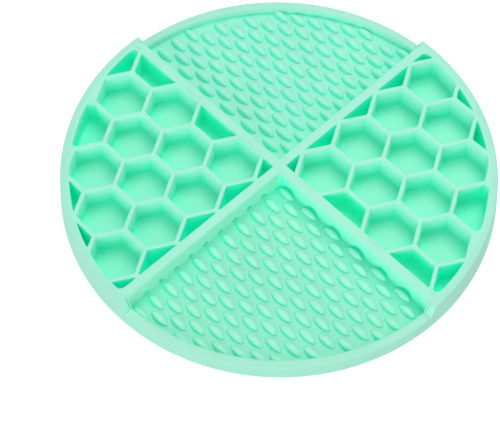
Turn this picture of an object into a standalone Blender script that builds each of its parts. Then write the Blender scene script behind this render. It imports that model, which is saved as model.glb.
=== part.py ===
# Round slow feeder mat: a floor disc, a stepped rim, a cross of walls,
# two honeycomb sectors and two fields of grain-shaped nubs.
# Metres, +Z up, resting on Z = 0, the cross on the diagonals of X and Y.

import math

import bmesh
import bpy

MM = 0.001

# Overall form
RIM_TOP_RADIUS = 100.0 * MM
FOOT_FLARE = 1.1 * MM
TALL_HEIGHT = 13.8 * MM
LOW_HEIGHT = 7.4 * MM
RIM_LAND = 4.0 * MM
SHOULDER_RUN = 3.2 * MM
EDGE_ROUND = 0.8 * MM
FOOT_ROUND = 0.6 * MM

# Floor, walls and the seams between the pieces
FLOOR_THICKNESS = 3.0 * MM
PAD_THICKNESS = 1.1 * MM
DIVIDER_WIDTH = 4.75 * MM
WALL_DRAFT = math.radians(2.5)
SEAM = 0.3 * MM

# Honeycomb
CELL_PITCH = 24.13 * MM
CELL_WALL = 2.0 * MM
CELL_CORNER = 1.2 * MM
CELL_SETBACK = 0.19 * MM
CELL_TUCK = 1.28 * MM
CELL_RAIL = 0.8 * MM
SMALLEST_CELL_AREA = 12.0 * MM * MM

# Nubs
NUB_LENGTH = 9.7 * MM
NUB_WIDTH = 3.7 * MM
NUB_HEIGHT = 2.1 * MM
NUB_ROW = 7.31 * MM
NUB_ROOT = 0.5 * MM
NUB_LEAST_SHARE = 0.35
FRONT_NUB_PITCH = 8.97 * MM
FRONT_NUB_START = 4.87 * MM
FRONT_NUB_SETBACK = 7.36 * MM
BACK_NUB_PITCH = 8.785 * MM
BACK_NUB_START = 4.95 * MM
BACK_NUB_SETBACK = 5.1 * MM

# Facets
RIM_STATIONS = 96
SHOULDER_STEPS = 4
ARC_STEPS = 24
CORNER_POINTS = 3

# Look
MINT = (0.24, 0.84, 0.60, 1.0)
ROUGHNESS = 0.55

# Derived heights and sizes
SEAT = FLOOR_THICKNESS + SEAM
PAD_TOP = SEAT + PAD_THICKNESS
LEFT = math.radians(135)
FRONT = math.radians(225)
BACK = math.radians(45)
CUT_MARGIN = 1.0 * MM


def rim_outer(z):
    """Outer radius of the rim at height z."""
    return RIM_TOP_RADIUS + FOOT_FLARE * (1 - z / TALL_HEIGHT)


def rim_inner(z):
    """Inner radius of the rim at height z, drawn in towards the floor."""
    return RIM_TOP_RADIUS - RIM_LAND - (TALL_HEIGHT - z) * math.tan(WALL_DRAFT)


def rim_recess(angle, clearance):
    """How far the rim stands back for the honeycomb's rail, past an arm's side face."""
    from_arm = (angle - math.radians(45)) % math.pi - math.pi / 2
    if from_arm < 0:
        return 0.0
    near = min(from_arm, math.pi / 2 - from_arm)
    past = RIM_TOP_RADIUS * math.sin(near) - DIVIDER_WIDTH / 2 - clearance
    return (CELL_RAIL + SEAM) * min(max(1 + past / SEAM, 0.0), 1.0)


def recess_angles(clearance):
    """Angles from an arm's middle where the recess begins and where it is full."""
    full = DIVIDER_WIDTH / 2 + clearance
    return [math.asin((full - SEAM) / RIM_TOP_RADIUS), math.asin(full / RIM_TOP_RADIUS)]


def divider_half(z):
    """Half the width of the cross's walls at height z."""
    return DIVIDER_WIDTH / 2 + (TALL_HEIGHT - z) * math.tan(WALL_DRAFT)


def cell_wall_half(z):
    """Half the width of a honeycomb wall at height z."""
    return CELL_WALL / 2 + (TALL_HEIGHT - z) * math.tan(WALL_DRAFT)


def sector_point(arm, a, b):
    """The point a along the arm at this angle and b along the next arm."""
    x = a * math.cos(arm) - b * math.sin(arm)
    y = a * math.sin(arm) + b * math.cos(arm)
    return (x, y)


def sector_outline(arm, inset, radius):
    """A quarter of a disc, set in from both arms, counter-clockwise."""
    turn = math.asin(inset / radius)
    span = math.pi / 2 - 2 * turn
    outline = [sector_point(arm, inset, inset)]
    for step in range(ARC_STEPS + 1):
        angle = arm + turn + span * step / ARC_STEPS
        outline.append((radius * math.cos(angle), radius * math.sin(angle)))
    return outline


def clip(outline, fence):
    """The part of a convex outline inside a convex counter-clockwise fence."""
    kept = list(outline)
    for index, start in enumerate(fence):
        end = fence[(index + 1) % len(fence)]
        nx, ny = start[1] - end[1], end[0] - start[0]
        sides = [(x - start[0]) * nx + (y - start[1]) * ny for x, y in kept]
        trimmed = []
        for k, here in enumerate(kept):
            there = kept[(k + 1) % len(kept)]
            s, t = sides[k], sides[(k + 1) % len(kept)]
            if s >= 0:
                trimmed.append(here)
            if s * t < 0:
                share = s / (s - t)
                trimmed.append(
                    (here[0] + (there[0] - here[0]) * share, here[1] + (there[1] - here[1]) * share)
                )
        kept = trimmed
        if len(kept) < 3:
            return []
    return kept


def area(outline):
    """Area of an outline."""
    total = 0.0
    for index, (x, y) in enumerate(outline):
        u, v = outline[(index + 1) % len(outline)]
        total += x * v - u * y
    return abs(total) / 2


def loft(mesh, loops):
    """Add a closed solid through (outline, height) loops, bottom to top."""
    rings = [[mesh.verts.new((x, y, z)) for x, y in outline] for outline, z in loops]
    for low, high in zip(rings, rings[1:]):
        for k in range(len(low)):
            n = (k + 1) % len(low)
            mesh.faces.new((low[k], low[n], high[n], high[k]))
    mesh.faces.new(reversed(rings[0]))
    mesh.faces.new(rings[-1])


def add_object(name, mesh):
    """Turn a bmesh into an object in the scene."""
    data = bpy.data.meshes.new(name)
    mesh.to_mesh(data)
    mesh.free()
    item = bpy.data.objects.new(name, data)
    bpy.context.scene.collection.objects.link(item)
    return item


def boolean(item, tool, operation):
    """Cut or join an object with a tool."""
    step = item.modifiers.new(operation.lower(), "BOOLEAN")
    step.operation = operation
    step.solver = "EXACT"
    step.object = tool


def settle(item, tools):
    """Keep the result of an object's modifiers as its mesh and drop the tools."""
    graph = bpy.context.evaluated_depsgraph_get()
    result = bpy.data.meshes.new_from_object(item.evaluated_get(graph))
    item.modifiers.clear()
    item.data = result
    result.name = item.name
    for tool in tools:
        bpy.data.objects.remove(tool)


def half_turn_copy(item, name):
    """The same piece on the other side of the mat."""
    twin = bpy.data.objects.new(name, item.data.copy())
    twin.data.name = name
    twin.rotation_euler = (0, 0, math.pi)
    bpy.context.scene.collection.objects.link(twin)
    return twin


def shoulder_angles():
    """Angles from an arm's middle across the step between the two rim heights."""
    start = DIVIDER_WIDTH / 2
    runs = [start + SHOULDER_RUN * k / SHOULDER_STEPS for k in range(SHOULDER_STEPS + 1)]
    return [math.asin(run / RIM_TOP_RADIUS) for run in runs]


def round_stations(nub_bends, cell_bends):
    """Angles round the mat, with extra ones beside each arm in both kinds of sector."""
    quarter = math.pi / 2
    plain = RIM_STATIONS // 4
    angles = []
    for side in range(4):
        arm = math.radians(45) + side * quarter
        bends = nub_bends if side % 2 == 0 else cell_bends
        span = quarter - 2 * bends[-1]
        angles += [arm + bend for bend in bends[:-1]]
        angles += [arm + bends[-1] + span * k / plain for k in range(plain + 1)]
        angles += [arm + quarter - bend for bend in reversed(bends[:-1])]
    return angles


def make_base():
    """The floor disc inside the rim, wider under the honeycomb's rails."""
    mesh = bmesh.new()
    outline = []
    for angle in round_stations(recess_angles(SEAM)[:1], recess_angles(SEAM)):
        radius = rim_inner(0) + rim_recess(angle, SEAM) - SEAM
        outline.append((radius * math.cos(angle), radius * math.sin(angle)))
    loft(mesh, [(outline, 0), (outline, FLOOR_THICKNESS)])
    return add_object("base_floor", mesh)


def rim_height(angle):
    """Rim height: tall round the honeycomb, low round the nubs."""
    from_arm = (angle - math.radians(45)) % math.pi
    if from_arm > math.pi / 2:
        return TALL_HEIGHT
    near = min(from_arm, math.pi / 2 - from_arm)
    run = (RIM_TOP_RADIUS * math.sin(near) - DIVIDER_WIDTH / 2) / SHOULDER_RUN
    share = min(max(run, 0.0), 1.0)
    blend = share * share * (3 - 2 * share)
    return TALL_HEIGHT + (LOW_HEIGHT - TALL_HEIGHT) * blend


def rim_section(height, recess):
    """Section of the rim, from its inner foot round the outside to the land."""
    e = EDGE_ROUND
    soft = e * (1 - math.sqrt(0.5))
    return [
        (rim_inner(0) + recess, 0),
        (rim_outer(0) - FOOT_ROUND, 0),
        (rim_outer(FOOT_ROUND), FOOT_ROUND),
        (rim_outer(height - e), height - e),
        (rim_outer(height) - soft, height - soft),
        (rim_outer(height) - e, height),
        (rim_inner(height) + recess + e, height),
        (rim_inner(height) + recess + soft, height - soft),
        (rim_inner(height - e) + recess, height - e),
    ]


def make_rim():
    """The ring wall with its four shoulders."""
    mesh = bmesh.new()
    rings = []
    for angle in round_stations(shoulder_angles(), recess_angles(0)):
        section = rim_section(rim_height(angle), rim_recess(angle, 0))
        c, s = math.cos(angle), math.sin(angle)
        rings.append([mesh.verts.new((r * c, r * s, z)) for r, z in section])
    for here, there in zip(rings, rings[1:] + rings[:1]):
        for k in range(len(here)):
            n = (k + 1) % len(here)
            mesh.faces.new((here[k], there[k], there[n], here[n]))
    return add_object("outer_rim", mesh)


def cross_outline(half, reach):
    """Outline of the cross for one wall width and arm length."""
    outline = []
    for side in range(4):
        arm = math.radians(45) + side * math.pi / 2
        outline.append(sector_point(arm, reach, -half))
        outline.append(sector_point(arm, reach, half))
        outline.append(sector_point(arm, half, half))
    return outline


def make_divider():
    """The X of walls between the sectors."""
    mesh = bmesh.new()
    soft = EDGE_ROUND * (1 - math.sqrt(0.5))
    levels = [(SEAT, 0), (TALL_HEIGHT - EDGE_ROUND, 0), (TALL_HEIGHT - soft, soft)]
    levels.append((TALL_HEIGHT, EDGE_ROUND))
    loops = []
    for z, trim in levels:
        half = divider_half(z) - trim
        reach = math.sqrt((rim_inner(z) - SEAM) ** 2 - half**2)
        loops.append((cross_outline(half, reach), z))
    loft(mesh, loops)
    return add_object("cross_divider", mesh)


def cell_outline(arm, a, b, wall_half):
    """A hexagon with rounded corners, flats facing the two arms' walls."""
    apothem = CELL_PITCH / 2 - wall_half
    out = (apothem - CELL_CORNER) / math.cos(math.radians(30))
    outline = []
    for side in range(6):
        corner = math.radians(60 * side)
        for k in range(CORNER_POINTS):
            turn = corner + math.radians(-30 + 60 * k / (CORNER_POINTS - 1))
            u = a + out * math.cos(corner) + CELL_CORNER * math.cos(turn)
            v = b + out * math.sin(corner) + CELL_CORNER * math.sin(turn)
            outline.append(sector_point(arm, u, v))
    return outline


def cell_centres():
    """Cell centres of one sector, as distances along its two arms."""
    column = CELL_PITCH * math.sqrt(3) / 2
    side = CELL_PITCH / math.sqrt(3)
    first = DIVIDER_WIDTH / 2 + CELL_SETBACK + side
    row = DIVIDER_WIDTH / 2 - CELL_TUCK + CELL_PITCH / 2
    count = int(RIM_TOP_RADIUS / column) + 2
    for i in range(-1, count):
        for j in range(-1, count):
            yield first + i * column, row + (j - 0.5 * (i % 2)) * CELL_PITCH


def make_honeycomb():
    """Cell walls of the left sector, open to the floor, with a rail along the rim."""
    blank = bmesh.new()
    loops = []
    for z in (SEAT, TALL_HEIGHT):
        outline = sector_outline(LEFT, divider_half(z) + SEAM, rim_inner(z) + CELL_RAIL)
        loops.append((outline, z))
    loft(blank, loops)
    item = add_object("honeycomb_left", blank)

    bottom = SEAT - CUT_MARGIN
    top = TALL_HEIGHT + CUT_MARGIN
    zone = bmesh.new()
    edges = [(sector_outline(LEFT, CUT_MARGIN, rim_inner(z)), z) for z in (bottom, top)]
    loft(zone, edges)
    limit = add_object("cell_zone", zone)

    mouths = sector_outline(LEFT, DIVIDER_WIDTH / 2, rim_inner(TALL_HEIGHT))
    cells = bmesh.new()
    for a, b in cell_centres():
        mouth = clip(cell_outline(LEFT, a, b, CELL_WALL / 2), mouths)
        if area(mouth) < SMALLEST_CELL_AREA:
            continue
        foot = cell_outline(LEFT, a, b, cell_wall_half(bottom))
        head = cell_outline(LEFT, a, b, cell_wall_half(top))
        loft(cells, [(foot, bottom), (head, top)])
    cutter = add_object("cell_cutter", cells)
    boolean(cutter, limit, "INTERSECT")
    boolean(item, cutter, "DIFFERENCE")
    settle(item, [cutter, limit])
    return item


def nub_ring(arm, a, b, scale):
    """Six points of a grain's outline, from tip to tip, along the second arm."""
    shape = [(0, 1), (-0.94, 0.42), (-0.94, -0.42), (0, -1), (0.94, -0.42), (0.94, 0.42)]
    u, v = NUB_WIDTH / 2 * scale, NUB_LENGTH / 2 * scale
    return [sector_point(arm, a + p * u, b + q * v) for p, q in shape]


def add_nub(mesh, arm, a, b):
    """One grain: a flared root, a rounded waist and a ridge on top."""
    waist, waist_z, ridge = 0.8, 0.6 * NUB_HEIGHT, 0.36
    root = 1 + (1 - waist) * NUB_ROOT / waist_z
    low = [mesh.verts.new((x, y, PAD_TOP - NUB_ROOT)) for x, y in nub_ring(arm, a, b, root)]
    mid = [mesh.verts.new((x, y, PAD_TOP + waist_z)) for x, y in nub_ring(arm, a, b, waist)]
    half = NUB_LENGTH / 2 * ridge
    tops = [sector_point(arm, a, b + half), sector_point(arm, a, b - half)]
    far, near = [mesh.verts.new((x, y, PAD_TOP + NUB_HEIGHT)) for x, y in tops]
    for k in range(6):
        n = (k + 1) % 6
        mesh.faces.new((low[k], low[n], mid[n], mid[k]))
    mesh.faces.new(reversed(low))
    mesh.faces.new((mid[0], mid[1], far))
    mesh.faces.new((mid[1], mid[2], near, far))
    mesh.faces.new((mid[2], mid[3], near))
    mesh.faces.new((mid[3], mid[4], near))
    mesh.faces.new((mid[4], mid[5], far, near))
    mesh.faces.new((mid[5], mid[0], far))


def nub_centres(pitch, start, setback):
    """Nub centres of one sector, in staggered rows along the first arm."""
    first = DIVIDER_WIDTH / 2 + setback
    rows = int(RIM_TOP_RADIUS / NUB_ROW) + 1
    count = int(RIM_TOP_RADIUS / pitch) + 1
    for k in range(rows):
        for m in range(count):
            yield start + (m + 0.5 * (k % 2)) * pitch, first + k * NUB_ROW


def make_pad(name, arm, centres):
    """Nub field of the sector after an arm: a thin floor with grains, cut to the sector."""
    reach = 1.2 * RIM_TOP_RADIUS
    corners = [(-reach, -reach), (reach, -reach), (reach, reach), (-reach, reach)]
    slab = bmesh.new()
    loft(slab, [(corners, SEAT), (corners, PAD_TOP)])
    item = add_object(name, slab)

    outline = sector_outline(arm, divider_half(SEAT) + SEAM, rim_inner(SEAT) - SEAM)
    nubs = bmesh.new()
    for a, b in centres:
        grain = nub_ring(arm, a, b, 1)
        if area(clip(grain, outline)) >= NUB_LEAST_SHARE * area(grain):
            add_nub(nubs, arm, a, b)
    field = add_object("nub_field", nubs)

    trim = bmesh.new()
    loft(trim, [(outline, SEAT - CUT_MARGIN), (outline, TALL_HEIGHT + CUT_MARGIN)])
    sector = add_object("pad_sector", trim)
    boolean(item, field, "UNION")
    boolean(item, sector, "INTERSECT")
    settle(item, [field, sector])
    return item


def make_material(item):
    """Soft matte mint silicone."""
    material = bpy.data.materials.new(item.name + "_silicone")
    material.use_nodes = True
    shader = material.node_tree.nodes["Principled BSDF"]
    shader.inputs["Base Color"].default_value = MINT
    shader.inputs["Roughness"].default_value = ROUGHNESS
    shader.inputs["Metallic"].default_value = 0.0
    material.diffuse_color = MINT
    item.data.materials.clear()
    item.data.materials.append(material)


def build():
    """Make every piece and hang it on one empty."""
    for old in list(bpy.data.objects):
        bpy.data.objects.remove(old)
    left = make_honeycomb()
    front_nubs = nub_centres(FRONT_NUB_PITCH, FRONT_NUB_START, FRONT_NUB_SETBACK)
    back_nubs = nub_centres(BACK_NUB_PITCH, BACK_NUB_START, BACK_NUB_SETBACK)
    pieces = [make_base(), make_rim(), make_divider(), left]
    pieces.append(half_turn_copy(left, "honeycomb_right"))
    pieces.append(make_pad("lick_pad_front", FRONT, front_nubs))
    pieces.append(make_pad("lick_pad_back", BACK, back_nubs))
    root = bpy.data.objects.new("feeder_mat", None)
    bpy.context.scene.collection.objects.link(root)
    for piece in pieces:
        piece.parent = root
        make_material(piece)
        piece.data.shade_smooth()
        piece.data.set_sharp_from_angle(angle=math.radians(35))


build()
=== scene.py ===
# Round slow feeder mat in mint silicone: a stepped rim, a cross of walls,
# two honeycomb sectors and two fields of grain-shaped nubs, moulded as one.
# Shapes are worked out in millimetres and put into the meshes in metres.
# Each sector is drawn in arm lengths: a along its first arm, b along its second.

import math
from collections import namedtuple

import bpy
import numpy as np
from mathutils import Matrix, Vector


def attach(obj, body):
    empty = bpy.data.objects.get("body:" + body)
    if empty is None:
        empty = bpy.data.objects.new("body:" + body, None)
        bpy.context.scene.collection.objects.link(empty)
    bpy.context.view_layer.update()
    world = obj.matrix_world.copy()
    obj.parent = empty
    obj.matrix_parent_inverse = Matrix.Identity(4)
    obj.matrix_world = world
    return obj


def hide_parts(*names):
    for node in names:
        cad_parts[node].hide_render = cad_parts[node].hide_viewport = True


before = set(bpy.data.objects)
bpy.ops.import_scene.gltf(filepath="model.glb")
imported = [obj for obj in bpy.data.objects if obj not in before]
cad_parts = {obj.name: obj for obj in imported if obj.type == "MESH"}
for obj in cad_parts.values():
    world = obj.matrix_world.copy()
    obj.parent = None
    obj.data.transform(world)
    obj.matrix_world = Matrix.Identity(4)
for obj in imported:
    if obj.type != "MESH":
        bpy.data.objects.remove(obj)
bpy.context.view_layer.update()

MM = 0.001

# Arms of the cross that open each sector, counter-clockwise
LEFT = math.radians(135)
FRONT = math.radians(225)
RIGHT = math.radians(315)
BACK = math.radians(45)

# Overall form
RIM_TOP_RADIUS = 100.0
FOOT_FLARE = 1.1
RIM_INNER = 96.0
TALL_HEIGHT = 13.8
LOW_HEIGHT = 7.4
SHOULDER_RUN = 3.2
RIM_EDGE = 0.8
FOOT_ROUND = 0.6
ARM_CELL_HALF = 2.3
ARM_LICK_HALF = 2.45
FRONT_LEFT_SHIFT = 0.85

# Levels
CELL_FLOOR = 3.0
PAD_FLOOR = 4.4
UNDER = 2.4

# Section of a pocket's wall; the shares limit the fillet on a low wall and the wall in a small cell
DRAFT = math.tan(math.radians(2.5))
CELL_EDGE = 0.5
LICK_EDGE = 0.9
CELL_FILLET = 0.12
PAD_FILLET = 0.12
FLAT_STRIP = 0.1
FILLET_SHARE = 0.35
ROOM_SHARE = 0.88

# How softly walls run into each other, in plain corners and where an arm meets the rim
CORNER_SOFTNESS = 0.26
CELL_RIM_SOFTNESS = 1.3
LICK_RIM_SOFTNESS = 0.85

# Where one piece ends and the next begins, on the flat tops
JOIN_MARGIN = 0.3
RIM_JOIN = RIM_INNER + LICK_EDGE + JOIN_MARGIN
ARM_JOIN = 0.8

# Wall faces of each sector, off the middle of its first and its second arm
CELL_SECTORS = {
    LEFT: (ARM_CELL_HALF, ARM_CELL_HALF - FRONT_LEFT_SHIFT),
    RIGHT: (ARM_CELL_HALF, ARM_CELL_HALF),
}
LICK_SECTORS = {
    FRONT: (ARM_LICK_HALF + FRONT_LEFT_SHIFT, ARM_LICK_HALF),
    BACK: (ARM_LICK_HALF, ARM_LICK_HALF),
}

# Honeycomb, with the numbers of its columns and rows and the middle of its underside
CELL_PITCH = 24.13
CELL_SIDE = CELL_PITCH / math.sqrt(3)
CELL_COLUMN = CELL_SIDE * 1.5
CELL_WALL_HALF = 1.0
CELL_FIRST_COLUMN = 16.5
CELL_FIRST_ROW = 13.16
CELL_NUMBERS = range(-1, 6)
SECTOR_MIDDLE = 45.0

# A patch of less area is left out; a cell with less room or a mouth of less area stays closed
SMALLEST_PATCH = 0.02
SMALLEST_ROOM = 0.6
SMALLEST_MOUTH = 12.0

# Nubs; NUB_POINT is the power that draws an oval's ends to a point, and the lifts are the rise
# of each ring of a nub as an angle, the first one sunk in the floor
NUB_LENGTH = 10.2
NUB_HEIGHT = 2.1
NUB_ROW = 7.31
NUB_POINT = 1.05
NUB_LIFTS = np.radians([-12, 16, 40, 64])
NUB_ROWS = 14
NUBS_IN_ROW = 12
NUB_PAST_JOIN = 1.2

# Pitch along the rows, first nub, first row, reach and nub width of each nub field
NubField = namedtuple("NubField", "pitch start first_row reach width")
NUB_FIELDS = {
    FRONT: NubField(pitch=8.97, start=4.72, first_row=9.73, reach=96.3, width=3.7),
    BACK: NubField(pitch=8.785, start=4.70, first_row=7.475, reach=93.9, width=4.2),
}

# Niches at the foot of the front walls: depth, half length and height; how far those at the tips
# stand off the nubs' middles; and the strip along each wall face in which points draw back
SIDE_NICHE = (0.9, 3.6, 3.8)
TIP_NICHE = (1.5, 1.7, 2.2)
TIP_SHIFT = 0.5
NICHE_STRIP = 1.5

# Steps that outlines, walls and rounds are drawn in
PATCH_STEPS = 14
ARM_STEPS = 260
ARC_STEPS = 64
SHOULDER_STEPS = 18
SHOULDER_MARGIN = 0.5
EDGE_STEPS = 5
FILLET_STEPS = 6
CELL_WALL_ROWS = 3
LICK_WALL_ROWS = 13
NUB_SIDES = 12
RIM_CELL_STEPS = 72
RIM_EDGE_STEPS = 6
RIM_SIDE_STEPS = 6
FOOT_STEPS = 4
BASE_STEPS = 144

# Search for the deepest point and for levels along a ray
GRID_STEPS = 21
GRID_ROUNDS = 7
GRID_SHRINK = 0.3
HALVINGS = 34

# Points are made one on a grid of this many steps in a millimetre, set off from round numbers
WELD_STEPS = 1000
WELD_OFFSET = 0.3127

# Edges that turn by more than this stay crisp
SHARP_ANGLE = math.radians(50)


# ---------------------------------------------------------------- shape tools


def turned(arm, a, b):
    """World x and y of a along the arm at this angle and b along the next arm: a plane turn."""
    c, s = math.cos(arm), math.sin(arm)
    return a * c - b * s, a * s + b * c


def as_points(arm, rings, height):
    """World points of rings given in arm lengths with their heights."""
    x, y = turned(arm, rings[..., 0], rings[..., 1])
    return np.stack([x, y, height], axis=-1)


def unit_ring(angles):
    """Points on the circle of radius one: the cosine and the sine of each angle."""
    return np.stack([np.cos(angles), np.sin(angles)], axis=1)


def quarter_turn(steps):
    """Angles of a quarter turn in even steps, both ends included."""
    return np.linspace(0, np.pi / 2, steps + 1)


def eased(share):
    """Smooth step from 0 to 1: three times the square less twice the cube of the clamped share."""
    x = np.clip(share, 0.0, 1.0)
    return x * x * (3 - 2 * x)


def end_crowded(count):
    """Shares from 0 up to, not including, 1, crowded at both ends: half of one less a cosine."""
    return (1 - np.cos(np.pi * np.arange(count) / count)) / 2


def rim_outer(z):
    """Outer radius at height z: the top radius plus a flare that grows evenly down to the foot."""
    return RIM_TOP_RADIUS + FOOT_FLARE * (1 - z / TALL_HEIGHT)


def land_height(points, first_half, second_half):
    """Top of the rim round the nubs: tall to the nearer arm's face, then eased down a shoulder."""
    past = np.minimum(points[..., 0] - second_half, points[..., 1] - first_half)
    return TALL_HEIGHT + (LOW_HEIGHT - TALL_HEIGHT) * eased(past / SHOULDER_RUN)


def arm_walls(first_half, second_half):
    """Faces of a sector's two arms as walls: (normal a, normal b, reach)."""
    return np.array([[-1.0, 0.0, -second_half], [0.0, -1.0, -first_half]])


def soft_least(every, softness):
    """Rounded least value along the last axis: minus the log of summed exponentials."""
    least = every.min(axis=-1, keepdims=True)
    total = np.exp((least - every) / softness).sum(axis=-1, keepdims=True)
    return least - softness * np.log(total)


def wall_distance(points, pocket):
    """Soft least distance to straight walls and the round rim, rounder where an arm meets the rim.

    A pocket is its walls and the softness of its corners at the rim. Each wall is (normal a,
    normal b, reach): its distance is the reach less the dot product. The last two are the arms.
    """
    walls, rim_softness = pocket
    straight = walls[:, 2] - points @ walls[:, :2].T
    curved = RIM_INNER - np.hypot(points[..., 0], points[..., 1])
    arms = soft_least(straight[..., -2:], CORNER_SOFTNESS)
    border = soft_least(np.concatenate([arms, curved[..., None]], axis=-1), rim_softness)
    every = np.concatenate([straight[..., :-2], border], axis=-1)
    return soft_least(every, CORNER_SOFTNESS)[..., 0]


def deepest_point(outline, pocket):
    """The point farthest from every wall and its distance, by a grid of tries that closes in."""
    middle = outline.mean(axis=0)
    spread = np.ptp(outline, axis=0).max() / 2
    steps = np.linspace(-1, 1, GRID_STEPS)
    grid = np.stack(np.meshgrid(steps, steps), axis=-1).reshape(-1, 2)
    for _ in range(GRID_ROUNDS):
        tries = middle + spread * grid
        middle = tries[np.argmax(wall_distance(tries, pocket))]
        spread *= GRID_SHRINK
    return middle, float(wall_distance(middle[None], pocket)[0])


def along_rays(centre, outline, pocket, levels):
    """Points on the rays from a centre to an outline where the wall distance has given levels.

    levels is one row per ray. Halving an interval along each ray closes in on every level.
    """
    near = np.zeros_like(levels)
    far = np.ones_like(levels)
    reach = (outline - centre)[:, None, :]
    for _ in range(HALVINGS):
        half = (near + far) / 2
        deep = wall_distance(centre + half[..., None] * reach, pocket) > levels
        near = np.where(deep, half, near)
        far = np.where(deep, far, half)
    return centre + near[..., None] * reach


def wall_profile(top, floor, edge, fillet, room, rows):
    """Section of a pocket's side as rows of (distance in from the mouth, height).

    A quarter round over the edge, a straight drafted wall, a quarter-round fillet down to the
    floor and a narrow flat. Where there is little room, the distances past the mouth shrink.
    rows is the number of rows set on the straight wall.
    """
    over = quarter_turn(EDGE_STEPS)
    down = np.linspace(0, 1, rows + 2)[1:-1]
    into = quarter_turn(FILLET_STEPS)
    top = np.asarray(top, dtype=float)[:, None]
    small = np.minimum(fillet, FILLET_SHARE * (top - floor))
    run = (top - edge - floor - small) * DRAFT
    edge_in = -edge + edge * np.sin(over) + 0 * top
    edge_z = top - edge * (1 - np.cos(over))
    wall_in = run * down
    wall_z = top - edge - (top - edge - floor - small) * down
    foot_in = run + small * (1 - np.cos(into))
    foot_z = floor + small * (1 - np.sin(into))
    flat_in = run + small + FLAT_STRIP
    distance = np.concatenate([edge_in, wall_in, foot_in, flat_in], axis=1)
    height = np.concatenate([edge_z, wall_z, foot_z, floor + 0 * top], axis=1)
    squeeze = np.minimum(1.0, ROOM_SHARE * room / distance[:, -1:])
    distance = np.where(distance > 0, distance * squeeze, distance)
    return distance, height


def grid_quads(rows, columns, rows_close=False, columns_close=False):
    """Quads of a grid numbered row by row; a way that closes joins its last line to its first."""
    row = np.arange(rows if rows_close else rows - 1)[:, None]
    column = np.arange(columns if columns_close else columns - 1)[None, :]
    here, there = row * columns, (row + 1) % rows * columns
    after = (column + 1) % columns
    quads = np.stack([here + column, there + column, there + after, here + after], axis=-1)
    return quads.reshape(-1, 4)


def fan(loop, hub):
    """Triangles from each step of a closed loop of numbers to one hub."""
    return np.stack([loop, np.roll(loop, -1), np.full(len(loop), hub)], axis=1)


class Shell:
    """Points and faces gathered for one mesh, and where a skirt from each point would land."""

    def __init__(self):
        self.points = np.zeros((0, 3))
        self.feet = np.zeros((0, 2))
        self.quads = np.zeros((0, 4), dtype=int)
        self.tris = np.zeros((0, 3), dtype=int)

    def add(self, points, quads=None, tris=None, feet=None):
        """Add points, and faces numbered from the first of them; feet are plumb if not given."""
        start = len(self.points)
        self.points = np.concatenate([self.points, points])
        plumb = np.asarray(points)[:, :2]
        self.feet = np.concatenate([self.feet, plumb if feet is None else feet])
        if quads is not None:
            self.quads = np.concatenate([self.quads, quads + start])
        if tris is not None:
            self.tris = np.concatenate([self.tris, tris + start])

    def weld(self):
        """Make one of the points that share a place to within a thousandth of a millimetre."""
        keys = np.round(self.points * WELD_STEPS + WELD_OFFSET).astype(np.int64)
        _, first, where = np.unique(keys, axis=0, return_index=True, return_inverse=True)
        where = where.reshape(-1)
        self.points = self.points[first]
        self.feet = self.feet[first]
        self.quads = where[self.quads]
        self.tris = where[self.tris]

    def close_below(self, depth, hub):
        """Hang a skirt from the open edge down to its feet at a depth and fan a bottom to a hub."""
        pairs = [self.quads[:, [k, (k + 1) % 4]] for k in range(4)]
        pairs += [self.tris[:, [k, (k + 1) % 3]] for k in range(3)]
        edges = np.concatenate(pairs)
        size = len(self.points)
        forth = edges[:, 0] * size + edges[:, 1]
        back = edges[:, 1] * size + edges[:, 0]
        rim = edges[~np.isin(forth, back)]
        used, place = np.unique(rim, return_inverse=True)
        place = place.reshape(rim.shape)
        low = np.column_stack([self.feet[used], np.full(len(used), depth)])
        under = size + place
        skirt = np.stack([rim[:, 1], rim[:, 0], under[:, 0], under[:, 1]], axis=1)
        centre = size + len(used)
        floor = np.stack([under[:, 1], under[:, 0], np.full(len(rim), centre)], axis=1)
        self.points = np.concatenate([self.points, low, [[hub[0], hub[1], depth]]])
        self.feet = self.points[:, :2]
        self.quads = np.concatenate([self.quads, skirt])
        self.tris = np.concatenate([self.tris, floor])


def make_piece(name, shell, node, material):
    """Put a shell into a mesh in metres, smooth but for square corners, and tie it to the frame."""
    mesh = bpy.data.meshes.new(name)
    faces = shell.quads.tolist() + shell.tris.tolist()
    mesh.from_pydata((shell.points * MM).tolist(), [], faces)
    mesh.update()
    mesh.shade_smooth()
    mesh.set_sharp_from_angle(angle=SHARP_ANGLE)
    mesh.materials.append(material)
    piece = bpy.data.objects.new(name, mesh)
    bpy.context.scene.collection.objects.link(piece)
    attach(piece, "root")
    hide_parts(node)


# ---------------------------------------------------------------- honeycomb


HEXAGON = CELL_SIDE * unit_ring(np.radians(60 * np.arange(6)))
HEXAGON_NORMALS = unit_ring(np.radians(30 + 60 * np.arange(6)))


def cut_by_line(corners, normal, reach):
    """The part of a convex outline whose dot product with a normal is at least the reach."""
    side = corners @ normal - reach
    kept = []
    for k in range(len(corners)):
        n = (k + 1) % len(corners)
        if side[k] >= 0:
            kept.append(corners[k])
        if side[k] * side[n] < 0:
            share = side[k] / (side[k] - side[n])
            kept.append(corners[k] + share * (corners[n] - corners[k]))
    return np.array(kept).reshape(-1, 2)


def cell_patch(centre):
    """A cell's patch, out to the middle of its walls: a hexagon cut off at both arms."""
    patch = cut_by_line(centre + HEXAGON, np.array([1.0, 0.0]), ARM_JOIN)
    if len(patch) > 2:
        patch = cut_by_line(patch, np.array([0.0, 1.0]), ARM_JOIN)
    return patch


def crossings(start, end, radius):
    """Shares along an edge where it meets a circle round the origin: the roots of a quadratic."""
    step = end - start
    a, b, c = step @ step, start @ step, start @ start - radius**2
    root = b * b - a * c
    if root <= 0:
        return []
    return [t for t in ((-b - root**0.5) / a, (-b + root**0.5) / a) if 0 < t < 1]


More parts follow.
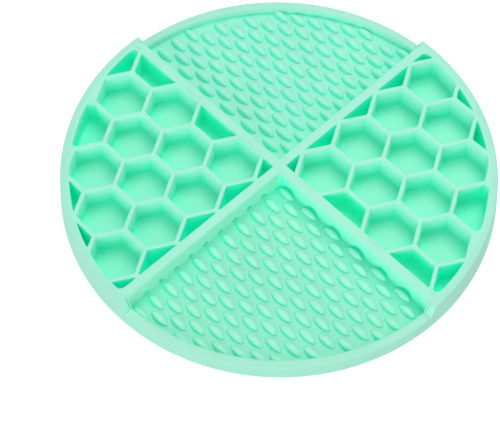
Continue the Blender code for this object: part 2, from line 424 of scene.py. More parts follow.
def arc_between(start, end, radius):
    """Points round a circle from one point on it towards another, even by angle."""
    t0, t1 = math.atan2(start[1], start[0]), math.atan2(end[1], end[0])
    return radius * unit_ring(t0 + (t1 - t0) * np.arange(PATCH_STEPS) / PATCH_STEPS)


def patch_outline(corners, radius):
    """Sampled outline of a convex patch cut off by the rim's circle, counter-clockwise.

    Straight edges are sampled crowded at both ends and the cut-off stretch evenly by angle.
    """
    parts = [np.zeros((0, 2))]
    gap = None
    first_entry = None
    for start, end in zip(corners, np.roll(corners, -1, axis=0)):
        stops = [0.0, *crossings(start, end, radius), 1.0]
        for low, high in zip(stops, stops[1:]):
            p, q = start + low * (end - start), start + high * (end - start)
            if np.hypot(*((p + q) / 2)) > radius:
                continue
            if low > 0 and gap is not None:
                parts.append(arc_between(gap, p, radius))
                gap = None
            elif low > 0:
                first_entry = p
            parts.append(p + end_crowded(PATCH_STEPS)[:, None] * (q - p))
            if high < 1:
                gap = q
    if gap is not None and first_entry is not None:
        parts.append(arc_between(gap, first_entry, radius))
    return np.concatenate(parts)


def outline_area(loop):
    """Area inside a loop: half the sum of the cross products of its steps."""
    after = np.roll(loop, -1, axis=0)
    return abs((loop[:, 0] * after[:, 1] - loop[:, 1] * after[:, 0]).sum()) / 2


def cell_rings(outline, centre, arms):
    """Rings of one cell with their heights, its deepest point and the height there.

    The rings are levels of the soft wall distance. They run from the middle of the walls over
    the flat top, down the drafted side and onto the floor. A cell that would be too small to
    open is a flat top.
    """
    reach = HEXAGON_NORMALS @ centre + CELL_PITCH / 2 - CELL_WALL_HALF
    walls = np.concatenate([np.column_stack([HEXAGON_NORMALS, reach]), arms])
    pocket = (walls, CELL_RIM_SOFTNESS)
    deep, room = deepest_point(outline, pocket)
    rings = outline[:, None, :]
    height = np.full((len(outline), 1), TALL_HEIGHT)
    mouth = along_rays(deep, outline, pocket, 0 * height)[:, 0]
    if room <= SMALLEST_ROOM or outline_area(mouth) < SMALLEST_MOUTH:
        return rings, height, deep, TALL_HEIGHT
    distance, side_height = wall_profile(
        height[:, 0], CELL_FLOOR, CELL_EDGE, CELL_FILLET, room, CELL_WALL_ROWS
    )
    side = along_rays(deep, outline, pocket, distance)
    rings = np.concatenate([rings, side], axis=1)
    height = np.concatenate([height, side_height], axis=1)
    return rings, height, deep, CELL_FLOOR


def honeycomb_shell(arm, first_half, second_half):
    """Cells of the sector after an arm in staggered columns, each fanned to its deepest point."""
    arms = arm_walls(first_half, second_half)
    shell = Shell()
    for i in CELL_NUMBERS:
        for j in CELL_NUMBERS:
            along = CELL_FIRST_COLUMN + i * CELL_COLUMN
            across = CELL_FIRST_ROW + (j - 0.5 * (i % 2)) * CELL_PITCH
            centre = np.array([along, across])
            patch = cell_patch(centre)
            outline = patch_outline(patch, RIM_JOIN)
            if len(patch) < 3 or outline_area(outline) < SMALLEST_PATCH:
                continue
            rings, height, deep, deep_height = cell_rings(outline, centre, arms)
            rows, columns = height.shape
            points = as_points(arm, rings, height).reshape(-1, 3)
            hub = [*turned(arm, deep[0], deep[1]), deep_height]
            innermost = np.arange(rows) * columns + columns - 1
            shell.add(
                np.concatenate([points, [hub]]),
                grid_quads(rows, columns, rows_close=True),
                fan(innermost, len(points)),
            )
    shell.weld()
    shell.close_below(UNDER, turned(arm, SECTOR_MIDDLE, SECTOR_MIDDLE))
    return shell


# ---------------------------------------------------------------- lick sectors


# Rings of a lick sector's walls, the same before niches, their heights, the number of rays that
# end on the rim's arc, which come first, and the deepest point
LickWalls = namedtuple("LickWalls", "rings plain height arc deep")


def shoulder_turns():
    """Angles off an arm across the rim's shoulder, from the arm's middle to past the ramp."""
    reach = ARM_LICK_HALF + FRONT_LEFT_SHIFT + SHOULDER_RUN + SHOULDER_MARGIN
    runs = np.linspace(0, reach, SHOULDER_STEPS + 1)
    return np.arcsin(runs / RIM_JOIN)


def sector_turns():
    """Angles across a sector from its first arm to its second, close-set on the shoulders."""
    near = shoulder_turns()
    plain = np.linspace(near[-1], np.pi / 2 - near[-1], ARC_STEPS + 1)
    return np.concatenate([near[:-1], plain, (np.pi / 2 - near[:-1])[::-1]])


def arm_shares():
    """Shares along an arm from 0 to 1, crowded at both ends."""
    return np.append(end_crowded(ARM_STEPS), 1.0)


def lick_rays():
    """Outline of a lick sector in arm lengths: along the rim's arc, then in and out along the arms.

    Returns the outline, with the arc first, and the number of points on the arc.
    """
    arc = RIM_JOIN * unit_ring(sector_turns())
    share = arm_shares()
    inward = np.stack([0 * share, RIM_JOIN * (1 - share)], axis=1)
    outward = np.stack([RIM_JOIN * share, 0 * share], axis=1)
    outline = np.concatenate([arc, inward[1:], outward[1:-1]])
    return outline, len(arc)


def niche_row(along, period, up, niche):
    """Depth of arched niches repeated along a wall's foot: the root of one less two squared shares.

    niche is its depth, half length and height; the shares are along the wall and up it.
    """
    depth, half, height = niche
    off = (along + period / 2) % period - period / 2
    arch = 1 - (off / half) ** 2 - (up / height) ** 2
    return depth * np.sqrt(np.clip(arch, 0.0, None))


def draw_back(arm, rings, height, deep, first_half, second_half):
    """Rings with the foot of both arms' walls drawn back behind the sides and tips of the nubs.

    Each point moves out along its own ray from the deepest point, and the last ring with the one
    before it, so that no face folds over.
    """
    field = NUB_FIELDS[arm]
    a, b = rings[..., 0], rings[..., 1]
    up = height - PAD_FLOOR
    side = niche_row(b - field.first_row, 2 * NUB_ROW, up, SIDE_NICHE)
    tip = niche_row(a - field.start + TIP_SHIFT, field.pitch, up, TIP_NICHE)
    first_tip, last = field.start + field.pitch / 2, field.reach - NUB_ROW
    by_side = (a < second_half + NICHE_STRIP) & (b < last)
    by_tip = (b < first_half + NICHE_STRIP) & (a > first_tip) & (a < last)
    further = np.where(by_side, side / (deep[0] - a), 0.0)
    further += np.where(by_tip, tip / (deep[1] - b), 0.0)
    moved = rings + further[..., None] * (rings - deep)
    moved[:, -1] = rings[:, -1] + moved[:, -2] - rings[:, -2]
    return moved


def lick_walls(arm, first_half, second_half):
    """Rings of a lick sector's walls as levels of the soft wall distance, one row for each ray.

    The wall top follows the shoulder, so each ray's section takes its height where the ray
    crosses the mouth. In front, the foot of each arm's wall draws back behind the nubs.
    """
    outline, arc = lick_rays()
    pocket = (arm_walls(first_half, second_half), LICK_RIM_SOFTNESS)
    deep, room = deepest_point(outline, pocket)
    mouth = along_rays(deep, outline, pocket, np.zeros((len(outline), 1)))[:, 0]
    tops = land_height(mouth, first_half, second_half)
    distance, height = wall_profile(tops, PAD_FLOOR, LICK_EDGE, PAD_FILLET, room, LICK_WALL_ROWS)
    side = along_rays(deep, outline, pocket, distance)
    start = land_height(outline, first_half, second_half)
    plain = np.concatenate([outline[:, None, :], side], axis=1)
    height = np.concatenate([start[:, None], height], axis=1)
    rings = plain
    if arm == FRONT:
        rings = draw_back(arm, plain, height, deep, first_half, second_half)
    return LickWalls(rings, plain, height, arc, deep)


def nub_cloud(arm, first_half, second_half):
    """Grain-shaped domes in staggered rows: a pointed oval drawn in by a cosine, raised by a sine.

    The oval's half width falls off as a power of a sine. The rise is a sine at the sides and its
    square at the ends, which run out softly. Points past a wall's foot or the rim's inside stay
    there.
    """
    field = NUB_FIELDS[arm]
    foot = (TALL_HEIGHT - PAD_FLOOR) * DRAFT + PAD_FILLET
    around = 2 * np.pi * (np.arange(NUB_SIDES) + 0.5) / NUB_SIDES
    swing = np.sin(around)
    oval_a = field.width / 2 * np.sign(swing) * np.abs(swing) ** NUB_POINT
    oval_b = NUB_LENGTH / 2 * np.cos(around) / math.cos(math.pi / NUB_SIDES)
    draw_in = np.cos(NUB_LIFTS)[None, :]
    a = draw_in * oval_a[:, None]
    b = draw_in * oval_b[:, None]
    row, turn = np.meshgrid(np.arange(NUB_ROWS), np.arange(NUBS_IN_ROW), indexing="ij")
    mid_a = (field.start + (turn + 0.5 * (row % 2)) * field.pitch).ravel()
    mid_b = (field.first_row + row * NUB_ROW).ravel()
    keep = np.hypot(mid_a, mid_b) < field.reach
    mid_a, mid_b = mid_a[keep], mid_b[keep]
    count = len(mid_a)
    all_a = mid_a[:, None, None] + a[None]
    all_b = mid_b[:, None, None] + b[None]
    ends_a = np.stack([mid_a, mid_a], axis=1)
    ends_b = np.stack([mid_b, mid_b], axis=1)
    grain_a = np.concatenate([all_a.reshape(count, -1), ends_a], axis=1)
    grain_b = np.concatenate([all_b.reshape(count, -1), ends_b], axis=1)
    grain_a = np.maximum(grain_a, second_half + foot)
    grain_b = np.maximum(grain_b, first_half + foot)
    shrink = np.minimum(1.0, (RIM_JOIN + NUB_PAST_JOIN) / np.hypot(grain_a, grain_b))
    soft = 1 + np.cos(around[:, None]) ** 2
    swell = np.sign(NUB_LIFTS) * np.abs(np.sin(NUB_LIFTS)) ** soft
    rise = NUB_HEIGHT * np.append(swell.ravel(), [1.0, np.sin(NUB_LIFTS[0])])
    x, y = turned(arm, grain_a * shrink, grain_b * shrink)
    points = np.stack([x, y, np.broadcast_to(PAD_FLOOR + rise, x.shape)], axis=-1)
    each = points.shape[1]
    place = np.arange(count)[:, None, None] * each
    rings = len(NUB_LIFTS)
    quads = grid_quads(NUB_SIDES, rings, rows_close=True)[:, ::-1]
    loop = np.arange(NUB_SIDES) * rings
    crown = fan(loop + rings - 1, each - 2)[:, ::-1]
    root = fan(loop, each - 1)
    quads = (quads[None] + place).reshape(-1, 4)
    tris = (np.concatenate([crown, root])[None] + place).reshape(-1, 3)
    return points.reshape(-1, 3), quads, tris


def pad_shell(arm, first_half, second_half):
    """Floor of the lick sector after an arm, inside the foot of its walls, with its nubs."""
    walls = lick_walls(arm, first_half, second_half)
    loop = as_points(arm, walls.rings[:, -1], walls.height[:, -1])
    feet = as_points(arm, walls.plain[:, -1], walls.height[:, -1])[:, :2]
    middle = turned(arm, walls.deep[0], walls.deep[1])
    rays = len(loop)
    shell = Shell()
    shell.add(
        np.concatenate([loop, [[*middle, PAD_FLOOR]]]),
        tris=fan(np.arange(rays), rays),
        feet=np.concatenate([feet, [middle]]),
    )
    shell.close_below(UNDER, middle)
    shell.add(*nub_cloud(arm, first_half, second_half))
    return shell


def divider_shell():
    """The cross: lick-side walls as rings of the wall distance, and flat tops on the cell side."""
    shell = Shell()
    for arm, halves in LICK_SECTORS.items():
        walls = lick_walls(arm, *halves)
        order = np.concatenate([np.arange(walls.arc - 1, len(walls.rings)), [0]])
        points = as_points(arm, walls.rings[order], walls.height[order])
        feet = as_points(arm, walls.plain[order], walls.height[order])[..., :2]
        rows, columns = points.shape[:2]
        shell.add(points.reshape(-1, 3), grid_quads(rows, columns), feet=feet.reshape(-1, 2))
    share = arm_shares()
    far = math.sqrt(RIM_JOIN**2 - ARM_JOIN**2)
    line = np.stack([0 * share, RIM_JOIN * (1 - share)], axis=1)
    join = np.stack([0 * share + ARM_JOIN, ARM_JOIN + (far - ARM_JOIN) * (1 - share)], axis=1)
    inward = np.stack([line, join], axis=1)
    outward = inward[::-1, :, ::-1]
    top = np.concatenate([inward, outward[1:]])
    for arm in (LEFT, RIGHT):
        points = as_points(arm, top, np.full(top.shape[:2], TALL_HEIGHT))
        shell.add(points.reshape(-1, 3), grid_quads(len(top), 2))
    shell.weld()
    shell.close_below(UNDER, (0.0, 0.0))
    return shell


# ---------------------------------------------------------------- rim and base


def low_wall(arm, first_half, second_half):
    """The rim's wall behind a nub field: rings on the rim's arc, closed below and at both ends."""
    walls = lick_walls(arm, first_half, second_half)
    wall = as_points(arm, walls.rings[: walls.arc], walls.height[: walls.arc])
    base = wall[:, [-1, 0]].copy()
    base[..., 2] = UNDER
    section = np.concatenate([wall, base], axis=1)
    rows, columns = section.shape[:2]
    size = rows * columns
    hubs = np.array([section[0].mean(axis=0), section[-1].mean(axis=0)])
    loop = np.arange(columns)
    ends = [fan(loop, size), fan((rows - 1) * columns + loop[::-1], size + 1)]
    points = np.concatenate([section.reshape(-1, 3), hubs])
    return points, grid_quads(rows, columns, columns_close=True), np.concatenate(ends)


def rim_shell():
    """The ring wall: one section carried round, its top stepping down over the shoulders.

    The section runs from the join over the land, round the edge, down the flared side, round
    the foot and back along the underside. The low walls behind the nubs close it inside.
    """
    lick = sector_turns()[:-1]
    cell = quarter_turn(RIM_CELL_STEPS)[:-1]
    turns = np.concatenate([BACK + lick, LEFT + cell, FRONT + lick, RIGHT + cell])[:, None]
    arc = RIM_JOIN * unit_ring(lick)
    back = land_height(arc, *LICK_SECTORS[BACK])
    front = land_height(arc, *LICK_SECTORS[FRONT])
    tall = np.full(len(cell), TALL_HEIGHT)
    top = np.concatenate([back, tall, front, tall])[:, None]
    over = quarter_turn(RIM_EDGE_STEPS)
    side = np.linspace(0, 1, RIM_SIDE_STEPS + 1)[1:-1]
    under = quarter_turn(FOOT_STEPS)
    zero = 0 * top
    join = zero + RIM_JOIN
    edge_z = top - RIM_EDGE * (1 - np.cos(over))
    edge_r = rim_outer(top - RIM_EDGE) - RIM_EDGE * (1 - np.sin(over))
    side_z = (top - RIM_EDGE) + (FOOT_ROUND - top + RIM_EDGE) * side
    foot_z = FOOT_ROUND * (1 - np.sin(under)) + zero
    foot_r = rim_outer(FOOT_ROUND) - FOOT_ROUND * (1 - np.cos(under)) + zero
    radius = np.concatenate([join, edge_r, rim_outer(side_z), foot_r, join], axis=1)
    height = np.concatenate([top, edge_z, side_z, foot_z, zero], axis=1)
    points = np.stack([radius * np.cos(turns), radius * np.sin(turns), height], axis=-1)
    quads = grid_quads(*radius.shape, rows_close=True, columns_close=True)
    outward = quads[:, [0, 3, 2, 1]]
    shell = Shell()
    shell.add(points.reshape(-1, 3), outward)
    for arm, halves in LICK_SECTORS.items():
        shell.add(*low_wall(arm, *halves))
    return shell


def base_shell():
    """The floor disc under the sectors: a short upright drum closed by fans."""
    ring = RIM_JOIN * unit_ring(np.linspace(0, 2 * np.pi, BASE_STEPS + 1)[:-1])
    low = np.column_stack([ring, np.zeros(BASE_STEPS)])
    high = np.column_stack([ring, np.full(BASE_STEPS, UNDER)])
    points = np.concatenate([low, high, [[0, 0, 0], [0, 0, UNDER]]])
    here = np.arange(BASE_STEPS)
    after = np.roll(here, -1)
    quads = np.stack([here, after, after + BASE_STEPS, here + BASE_STEPS], axis=1)
    bottom = fan(here[::-1], 2 * BASE_STEPS)
    top = fan(here + BASE_STEPS, 2 * BASE_STEPS + 1)
    shell = Shell()
    shell.add(points, quads, np.concatenate([bottom, top]))
    return shell


# ---------------------------------------------------------------- finish


# Painted shade: tones by how open a place is, from 0 in a deep hollow to 1 in the clear
LEVEL_SHADE_TONES = [
    (0.05, (0.012, 0.99, 0.84)),
    (0.30, (0.070, 0.98, 0.76)),
    (0.45, (0.175, 0.97, 0.72)),
    (0.62, (0.298, 0.92, 0.69)),
    (0.80, (0.375, 0.92, 0.71)),
    (1.00, (0.370, 0.91, 0.695)),
]
RIM_LEVEL_SHADE_TONES = [
    (0.05, (0.012, 0.99, 0.84)),
    (0.30, (0.070, 0.98, 0.76)),
    (0.62, (0.290, 0.90, 0.69)),
    (0.80, (0.375, 0.87, 0.68)),
    (1.00, (0.378, 0.86, 0.67)),
]
WALL_SHADE_TONES = [
    (0.05, (0.017, 0.99, 0.89)),
    (0.30, (0.080, 0.99, 0.77)),
    (0.47, (0.046, 0.95, 0.65)),
    (0.60, (0.290, 0.99, 0.81)),
    (0.80, (0.470, 0.99, 0.87)),
    (1.00, (0.470, 0.98, 0.85)),
]
PAD_SHADE_TONES = [
    (0.15, (0.060, 0.95, 0.74)),
    (0.27, (0.205, 0.95, 0.72)),
    (0.37, (0.255, 0.93, 0.71)),
    (0.50, (0.285, 0.91, 0.69)),
    (0.62, (0.360, 0.91, 0.70)),
    (0.80, (0.400, 0.92, 0.71)),
]
NUB_SHADE_TONES = [
    (0.20, (0.165, 0.95, 0.70)),
    (0.40, (0.235, 0.96, 0.71)),
    (0.55, (0.330, 0.97, 0.75)),
    (0.70, (0.360, 0.96, 0.75)),
    (0.85, (0.375, 0.94, 0.73)),
    (1.00, (0.420, 0.92, 0.72)),
]
EDGE_SHADE_TONES = [
    (0.08, (0.030, 0.99, 0.84)),
    (0.16, (0.100, 0.98, 0.78)),
    (0.24, (0.215, 0.97, 0.75)),
    (0.30, (0.255, 0.97, 0.74)),
    (0.44, (0.340, 0.98, 0.77)),
    (0.65, (0.390, 0.99, 0.79)),
    (1.00, (0.390, 0.95, 0.75)),
]
# Painted shade on the rim's outside, darker than its top
RIM_OUTSIDE_SHADE = (0.31, 0.70, 0.54)
# Painted shade tints for the pads' floor, lighter on the back pad where more light falls
FRONT_FLOOR_SHADE_TINT = (0.75, 0.96, 0.89)
BACK_FLOOR_SHADE_TINT = (0.83, 0.995, 0.965)

# Directions: towards the key light, level away from it, and level to the left
TO_LAMP = (0.455, 0.455, 0.766)
FROM_LAMP = (-0.707, -0.707, 0.0)
TO_LEFT = (-1.0, 0.0, 0.0)

# Painted light and shade by facing: openness that slopes gain as they turn towards a direction
Shade = namedtuple("Shade", "towards turning added")
CELL_SHADE = Shade(FROM_LAMP, turning=(0.5, 1.0), added=(0.0, 0.10))
FRONT_SHADE = Shade(FROM_LAMP, turning=(0.1, 1.0), added=(0.0, -0.35))
BACK_SHADE = Shade(FROM_LAMP, turning=(-0.3, 1.0), added=(0.0, -0.6))
CROSS_SHADE = Shade(TO_LEFT, turning=(-0.65, 0.65), added=(0.3, -0.35))

# How far round a place its openness is felt, in metres, and by how many rays
OPEN_REACH = 0.014
OPEN_RAYS = 12

# Upright part of a face's direction, and outward part on the rim's outside, from where a change
# of painted tone starts to where it is whole
UNDERSIDE_LEAN = (-0.5, -0.9)
LEVEL_LEAN = (0.25, 0.85)
OUTSIDE_TURN = (0.2, 0.6)

# Heights above the pads' floor over which its painted shadow from the lamp and its painted shade
# tint run out
FLOOR_SHADOW_RISE = 0.6
FLOOR_SHADE_TINT_RISE = 1.0

# Scale and detail of each noise, and what it does to the tone, the roughness and the surface
DRIFT = (45.0, 3.0)
DRIFT_SPREAD = (0.3, 0.7)
DRIFT_TONE = (0.97, 1.01)
HAZE = (320.0, 4.0)
HAZE_ROUGHNESS = (0.46, 0.62)
GRAIN = (1700.0, 3.0)
GRAIN_STRENGTH = 0.08
GRAIN_DEPTH = 0.0002
WHOLE = (0.0, 1.0)


class Look:
    """A new material, with short ways to add and link the nodes of its tree."""

    def __init__(self, name):
        self.material = bpy.data.materials.new(name)
        self.material.use_nodes = True
        self.nodes = self.material.node_tree.nodes
        self.links = self.material.node_tree.links

    def feed(self, socket, value):
        """Link another node's output to a socket, or set a plain value on it."""
        if isinstance(value, bpy.types.NodeSocket):
            self.links.new(value, socket)
        else:
            socket.default_value = value

    def upright_part(self, vector):
        """The z part of a vector."""
        node = self.nodes.new("ShaderNodeSeparateXYZ")
        self.links.new(vector, node.inputs["Vector"])
        return node.outputs["Z"]

    def openness(self, aim=None):
        """How open a place is, about its own direction or about a given aim."""
        node = self.nodes.new("ShaderNodeAmbientOcclusion")
        node.samples = OPEN_RAYS
        node.inputs["Distance"].default_value = OPEN_REACH
        if aim:
            fixed = self.nodes.new("ShaderNodeCombineXYZ")
            for socket, part in zip(fixed.inputs, aim):
                socket.default_value = part
            self.links.new(fixed.outputs["Vector"], node.inputs["Normal"])
        return node.outputs["AO"]

    def carry(self, value, source, target=WHOLE, smooth=False):
        """A value carried from one range to another, held inside it, evenly or by a smooth step."""
        node = self.nodes.new("ShaderNodeMapRange")
        node.interpolation_type = "SMOOTHSTEP" if smooth else "LINEAR"
        node.inputs["From Min"].default_value, node.inputs["From Max"].default_value = source
        node.inputs["To Min"].default_value, node.inputs["To Max"].default_value = target
        self.links.new(value, node.inputs["Value"])
        return node.outputs["Result"]

    def carry_tint(self, value, source, tint):
        """A smooth step from a tint where a value starts its range to white where it ends."""
        node = self.nodes.new("ShaderNodeMapRange")
        node.data_type = "FLOAT_VECTOR"
        node.interpolation_type = "SMOOTHSTEP"
        sockets = [socket for socket in node.inputs if socket.type == "VECTOR"]
        ends = [(source[0],) * 3, (source[1],) * 3, tint, (1.0, 1.0, 1.0)]
        for socket, part in zip(sockets, [value, *ends]):
            self.feed(socket, part)
        return node.outputs["Vector"]

    def number(self, operation, first, second):
        """A number worked out from two."""
        node = self.nodes.new("ShaderNodeMath")
        node.operation = operation
        self.links.new(first, node.inputs[0])
        self.links.new(second, node.inputs[1])
        return node.outputs["Value"]

    def vector(self, operation, first, second=None):
        """A vector worked out from one or two vectors, or the number that their dot product is."""
        node = self.nodes.new("ShaderNodeVectorMath")
        node.operation = operation
        self.links.new(first, node.inputs[0])
        if second is not None:
            self.feed(node.inputs["Scale" if operation == "SCALE" else 1], second)
        return node.outputs["Value" if operation == "DOT_PRODUCT" else "Vector"]

    def ramp(self, share, tones):
        """The tone at a share: a colour ramp through the given pairs."""
        node = self.nodes.new("ShaderNodeValToRGB")
        steps = node.color_ramp.elements
        steps[0].position, first = tones[0]
        steps[0].color = (*first, 1.0)
        steps[1].position, last = tones[-1]
        steps[1].color = (*last, 1.0)
        for position, between in tones[1:-1]:
            steps.new(position).color = (*between, 1.0)
        self.links.new(share, node.inputs["Fac"])
        return node.outputs["Color"]

    def mix(self, share, first, second):
        """Two tones mixed by the share of the second."""
        node = self.nodes.new("ShaderNodeMix")
        node.data_type = "RGBA"
        tones = [socket for socket in node.inputs if socket.type == "RGBA"]
        self.links.new(share, node.inputs[0])
        self.feed(tones[0], first)
        self.feed(tones[1], second)
        return [socket for socket in node.outputs if socket.type == "RGBA"][0]

    def noise(self, place, scale, detail):
        """A noise about one half."""
        node = self.nodes.new("ShaderNodeTexNoise")
        node.inputs["Scale"].default_value = scale
        node.inputs["Detail"].default_value = detail
        self.links.new(place, node.inputs["Vector"])
        return node.outputs["Fac"]


def mint_silicone(name, levels, slopes, glow, shade=None, outside_shade=None, floor_shade_tint=None):
    """Soft matte mint silicone: painted shade, deeper in the hollows; slow drifts, a fine grain,
    uneven gloss.

    levels are the tones of flat faces, slopes those of upright ones, by how open the place is:
    painted shade, with flat and upright faces painted for the light that falls on each; the
    underside counts as open. glow is how far a painted glow, standing in for light that passes
    through the piece, lifts its hollows. shade is what slopes gain in openness as they turn:
    painted light and shade by facing. The tone for the outside of the rim is painted shade. With
    a floor tint there is painted shadow from the lamp: the level tones stay on the nubs' floor, by
    its openness towards the lamp, and are multiplied there by the tint, a painted shade tint too.
    """
    look = Look(name)
    place = look.nodes.new("ShaderNodeTexCoord").outputs["Object"]
    facing = look.nodes.new("ShaderNodeNewGeometry").outputs
    face = facing["True Normal"]
    lean = look.upright_part(face)

    # Painted shade by how open a place is, lifted in the hollows by the painted glow
    clear = look.carry(look.openness(), WHOLE, (glow, 1.0))
    shown = look.number("MAXIMUM", clear, look.carry(lean, UNDERSIDE_LEAN))
    lifted = shown
    # Painted light and shade: slopes made lighter or darker by which way they face
    if shade:
        turn = look.vector("DOT_PRODUCT", facing["Normal"] if floor_shade_tint else face, shade.towards)
        gain = look.carry(turn, shade.turning, shade.added, smooth=True)
        lifted = look.number("ADD", shown, gain)
    tone = look.ramp(lifted, slopes)
    # Painted shade on the rim's outside, by how far a face turns outward
    if outside_shade:
        level_place = look.vector("MULTIPLY", place, (1.0, 1.0, 0.0))
        outward = look.vector("DOT_PRODUCT", look.vector("NORMALIZE", level_place), face)
        tone = look.mix(look.carry(outward, OUTSIDE_TURN), tone, (*outside_shade, 1.0))
    # Painted shadow from the lamp on the nubs' floor, by its openness towards the lamp, times a
    # painted shade tint
    if floor_shade_tint:
        height = look.upright_part(place)
        tone_ends = ((PAD_FLOOR + FLOOR_SHADOW_RISE) * MM, PAD_FLOOR * MM)
        tint_ends = (PAD_FLOOR * MM, (PAD_FLOOR + FLOOR_SHADE_TINT_RISE) * MM)
        floor_shadow_tone = look.ramp(look.openness(TO_LAMP), levels)
        tone = look.mix(look.carry(height, tone_ends, smooth=True), tone, floor_shadow_tone)
        tone = look.vector("MULTIPLY", tone, look.carry_tint(height, tint_ends, floor_shade_tint))
    else:
        # Flat faces and upright ones take separate painted tones, for the different light on each
        tone = look.mix(look.carry(lean, LEVEL_LEAN, smooth=True), tone, look.ramp(shown, levels))

    drift = look.carry(look.noise(place, *DRIFT), DRIFT_SPREAD, DRIFT_TONE)
    gloss = look.carry(look.noise(place, *HAZE), WHOLE, HAZE_ROUGHNESS)
    bump = look.nodes.new("ShaderNodeBump")
    bump.inputs["Strength"].default_value = GRAIN_STRENGTH
    bump.inputs["Distance"].default_value = GRAIN_DEPTH
    look.links.new(look.noise(place, *GRAIN), bump.inputs["Height"])

    shader = look.nodes["Principled BSDF"]
    look.links.new(look.vector("SCALE", tone, drift), shader.inputs["Base Color"])
    look.links.new(gloss, shader.inputs["Roughness"])
    look.links.new(bump.outputs["Normal"], shader.inputs["Normal"])
    return look.material


# Each piece has its own copy of the silicone, with its own painted shade, painted glow and painted
# light and shade by facing
cell_silicone = mint_silicone(
    "mint_silicone_cells", LEVEL_SHADE_TONES, WALL_SHADE_TONES, glow=0.0, shade=CELL_SHADE
)
front_silicone = mint_silicone(
    "mint_silicone_front_pad",
    PAD_SHADE_TONES,
    NUB_SHADE_TONES,
    glow=0.08,
    shade=FRONT_SHADE,
    floor_shade_tint=FRONT_FLOOR_SHADE_TINT,
)
back_silicone = mint_silicone(
    "mint_silicone_back_pad",
    PAD_SHADE_TONES,
    NUB_SHADE_TONES,
    glow=0.08,
    shade=BACK_SHADE,
    floor_shade_tint=BACK_FLOOR_SHADE_TINT,
)
cross_silicone = mint_silicone(
    "mint_silicone_cross", LEVEL_SHADE_TONES, EDGE_SHADE_TONES, glow=0.2, shade=CROSS_SHADE
)
rim_silicone = mint_silicone(
    "mint_silicone_rim", RIM_LEVEL_SHADE_TONES, EDGE_SHADE_TONES, glow=0.15, outside_shade=RIM_OUTSIDE_SHADE
)

left_cells = honeycomb_shell(LEFT, *CELL_SECTORS[LEFT])
right_cells = honeycomb_shell(RIGHT, *CELL_SECTORS[RIGHT])
front_pad = pad_shell(FRONT, *LICK_SECTORS[FRONT])
back_pad = pad_shell(BACK, *LICK_SECTORS[BACK])
make_piece("honeycomb_left_walls", left_cells, "honeycomb_left", cell_silicone)
make_piece("honeycomb_right_walls", right_cells, "honeycomb_right", cell_silicone)
make_piece("lick_pad_front_nubs", front_pad, "lick_pad_front", front_silicone)
make_piece("lick_pad_back_nubs", back_pad, "lick_pad_back", back_silicone)
make_piece("cross_divider_walls", divider_shell(), "cross_divider", cross_silicone)
make_piece("outer_rim_ring", rim_shell(), "outer_rim", rim_silicone)
make_piece("base_floor_disc", base_shell(), "base_floor", rim_silicone)


# ---------------------------------------------------------------- camera, light and floor


# Focal length in pixels of a picture of this width; angles in radians; distance to the target
FOCAL_PIXELS = 1611.96
PICTURE_WIDTH = 500
SENSOR_WIDTH = 36.0
CAMERA_AZIMUTH = 0.0204
CAMERA_ELEVATION = 1.023
CAMERA_ROLL = math.radians(-0.15)
CAMERA_TARGET = Vector((-12.896, -20.284, 0.0))
CAMERA_DISTANCE = 739.23

FLOOR_HALF = 3.0
FLOOR_LIFT = 0.05 * MM
WHITE = (1.0, 1.0, 1.0, 1.0)
FLOOR_GREY = (0.4, 0.4, 0.4, 1.0)


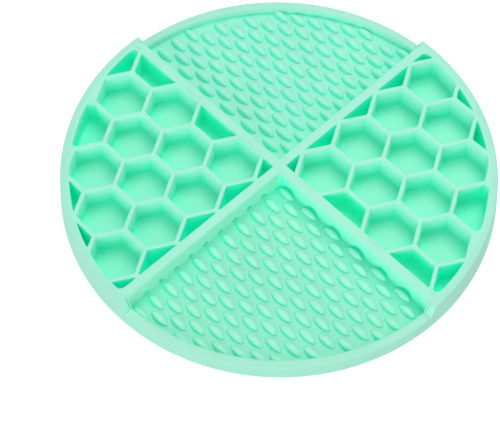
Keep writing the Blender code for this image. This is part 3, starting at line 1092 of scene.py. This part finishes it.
def make_camera():
    """Camera at the photograph's angle: aimed at a point on the floor, with a touch of roll."""
    level = math.cos(CAMERA_ELEVATION)
    back = Vector(
        (
            math.sin(CAMERA_AZIMUTH) * level,
            -math.cos(CAMERA_AZIMUTH) * level,
            math.sin(CAMERA_ELEVATION),
        )
    )
    right = (-back).cross(Vector((0, 0, 1))).normalized()
    up = right.cross(-back)
    side = math.cos(CAMERA_ROLL) * right + math.sin(CAMERA_ROLL) * up
    top = -math.sin(CAMERA_ROLL) * right + math.cos(CAMERA_ROLL) * up
    data = bpy.data.cameras.new("camera")
    data.sensor_width = SENSOR_WIDTH
    data.sensor_fit = "HORIZONTAL"
    data.lens = FOCAL_PIXELS * SENSOR_WIDTH / PICTURE_WIDTH
    data.clip_start = 0.01
    data.clip_end = 20.0
    camera = bpy.data.objects.new("camera", data)
    turn = Matrix((side, top, back)).transposed().to_4x4()
    place = (CAMERA_TARGET + back * CAMERA_DISTANCE) * MM
    camera.matrix_world = Matrix.Translation(place) @ turn
    bpy.context.scene.collection.objects.link(camera)
    bpy.context.scene.camera = camera


def make_light(name, place, size, power):
    """A square soft box at a place, turned towards the middle of the mat."""
    data = bpy.data.lights.new(name, "AREA")
    data.shape = "SQUARE"
    data.size = size
    data.energy = power
    lamp = bpy.data.objects.new(name, data)
    lamp.location = place
    lamp.rotation_euler = (-Vector(place)).to_track_quat("-Z", "Y").to_euler()
    bpy.context.scene.collection.objects.link(lamp)


def make_floor():
    """A plain pale floor under the mat, a hair above its foot so that the underside shows clean."""
    mesh = bpy.data.meshes.new("studio_floor")
    signs = [(-1, -1), (1, -1), (1, 1), (-1, 1)]
    corners = [(x * FLOOR_HALF, y * FLOOR_HALF, FLOOR_LIFT) for x, y in signs]
    mesh.from_pydata(corners, [], [(0, 1, 2, 3)])
    material = bpy.data.materials.new("floor_paint")
    material.use_nodes = True
    shader = material.node_tree.nodes["Principled BSDF"]
    shader.inputs["Base Color"].default_value = FLOOR_GREY
    shader.inputs["Roughness"].default_value = 0.9
    shader.inputs["Emission Color"].default_value = WHITE
    shader.inputs["Emission Strength"].default_value = 0.74
    mesh.materials.append(material)
    floor = bpy.data.objects.new("studio_floor", mesh)
    bpy.context.scene.collection.objects.link(floor)


def make_world():
    """An even white surround."""
    world = bpy.data.worlds.new("studio")
    world.use_nodes = True
    glow = world.node_tree.nodes["Background"]
    glow.inputs["Color"].default_value = WHITE
    glow.inputs["Strength"].default_value = 0.545
    bpy.context.scene.world = world


make_camera()
make_light("key_soft_box", place=(0.38, 0.82, 1.56), size=1.0, power=12.8)
make_light("front_soft_box", place=(-0.59, -1.62, 0.4), size=1.4, power=16.0)
make_floor()
make_world()
bpy.context.scene.view_settings.view_transform = "Standard"
bpy.context.scene.cycles.max_bounces = 24
bpy.context.scene.cycles.diffuse_bounces = 16
